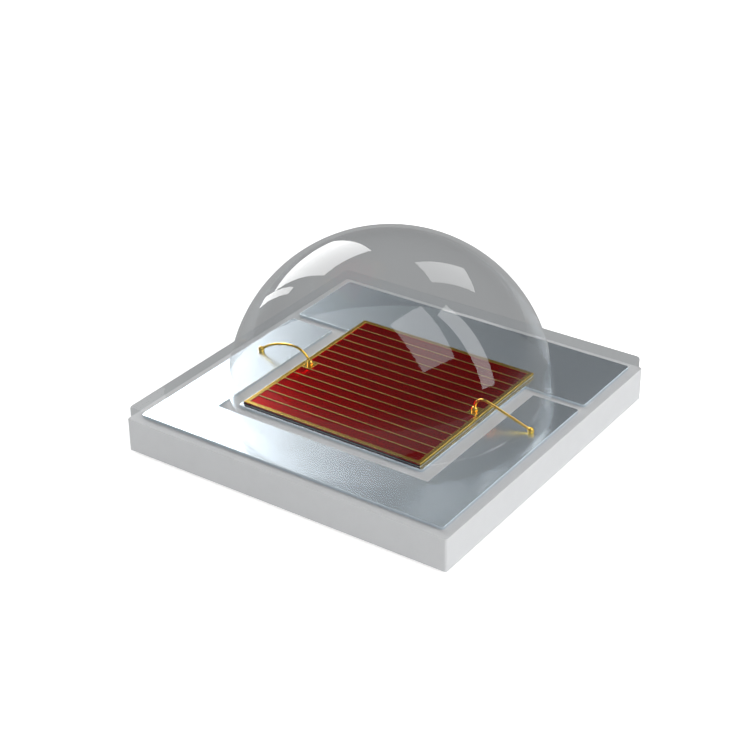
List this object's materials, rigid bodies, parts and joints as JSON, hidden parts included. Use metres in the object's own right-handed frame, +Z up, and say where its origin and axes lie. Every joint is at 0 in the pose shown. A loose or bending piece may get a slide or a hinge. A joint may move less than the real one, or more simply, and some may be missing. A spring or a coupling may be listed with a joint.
{
  "type": "horticulture LED",
  "caption": "Square surface-mount red LED with a white ceramic base, silver tracks, a gold-gridded red chip, two bond wires and a clear silicone dome lens.",
  "frame": {"origin": "centre of the square base, on the plane of the solder pads' undersides", "axes": "+Z up through the dome, +X towards the right bond wire, +Y towards the wide back bar of the die pad"},
  "size_m": [0.0034, 0.0034, 0.0019],
  "materials": {
    "white_ceramic": "matte, fired",
    "silver_plating": "bright plated",
    "solder_plating": "gold flash, satin",
    "via_copper": "plated, satin",
    "die_solder": "reflowed, satin",
    "chip_black": "sawn semiconductor",
    "chip_mirror": "evaporated metal",
    "chip_red": "polished semiconductor",
    "contact_gold": "bright gold",
    "wire_gold": "drawn gold",
    "clear_silicone": "clear, glossy"
  },
  "bodies": {
    "root": {"ceramic_substrate": "white_ceramic", "outer_track": "silver_plating", "die_pad": "silver_plating", "heat_pad": "solder_plating", "front_contact_pad": "solder_plating", "back_contact_pad": "solder_plating", "front_via_1": "via_copper", "front_via_2": "via_copper", "front_via_3": "via_copper", "front_via_4": "via_copper", "front_via_5": "via_copper", "back_via_1": "via_copper", "back_via_2": "via_copper", "back_via_3": "via_copper", "back_via_4": "via_copper", "back_via_5": "via_copper", "die_solder": "die_solder", "chip_carrier": "chip_black", "chip_mirror": "chip_mirror", "chip_emitter": "chip_red", "contact_grid": "contact_gold", "left_bond_wire": "wire_gold", "right_bond_wire": "wire_gold", "silicone_lens": "clear_silicone"}
  },
  "joints": []
}
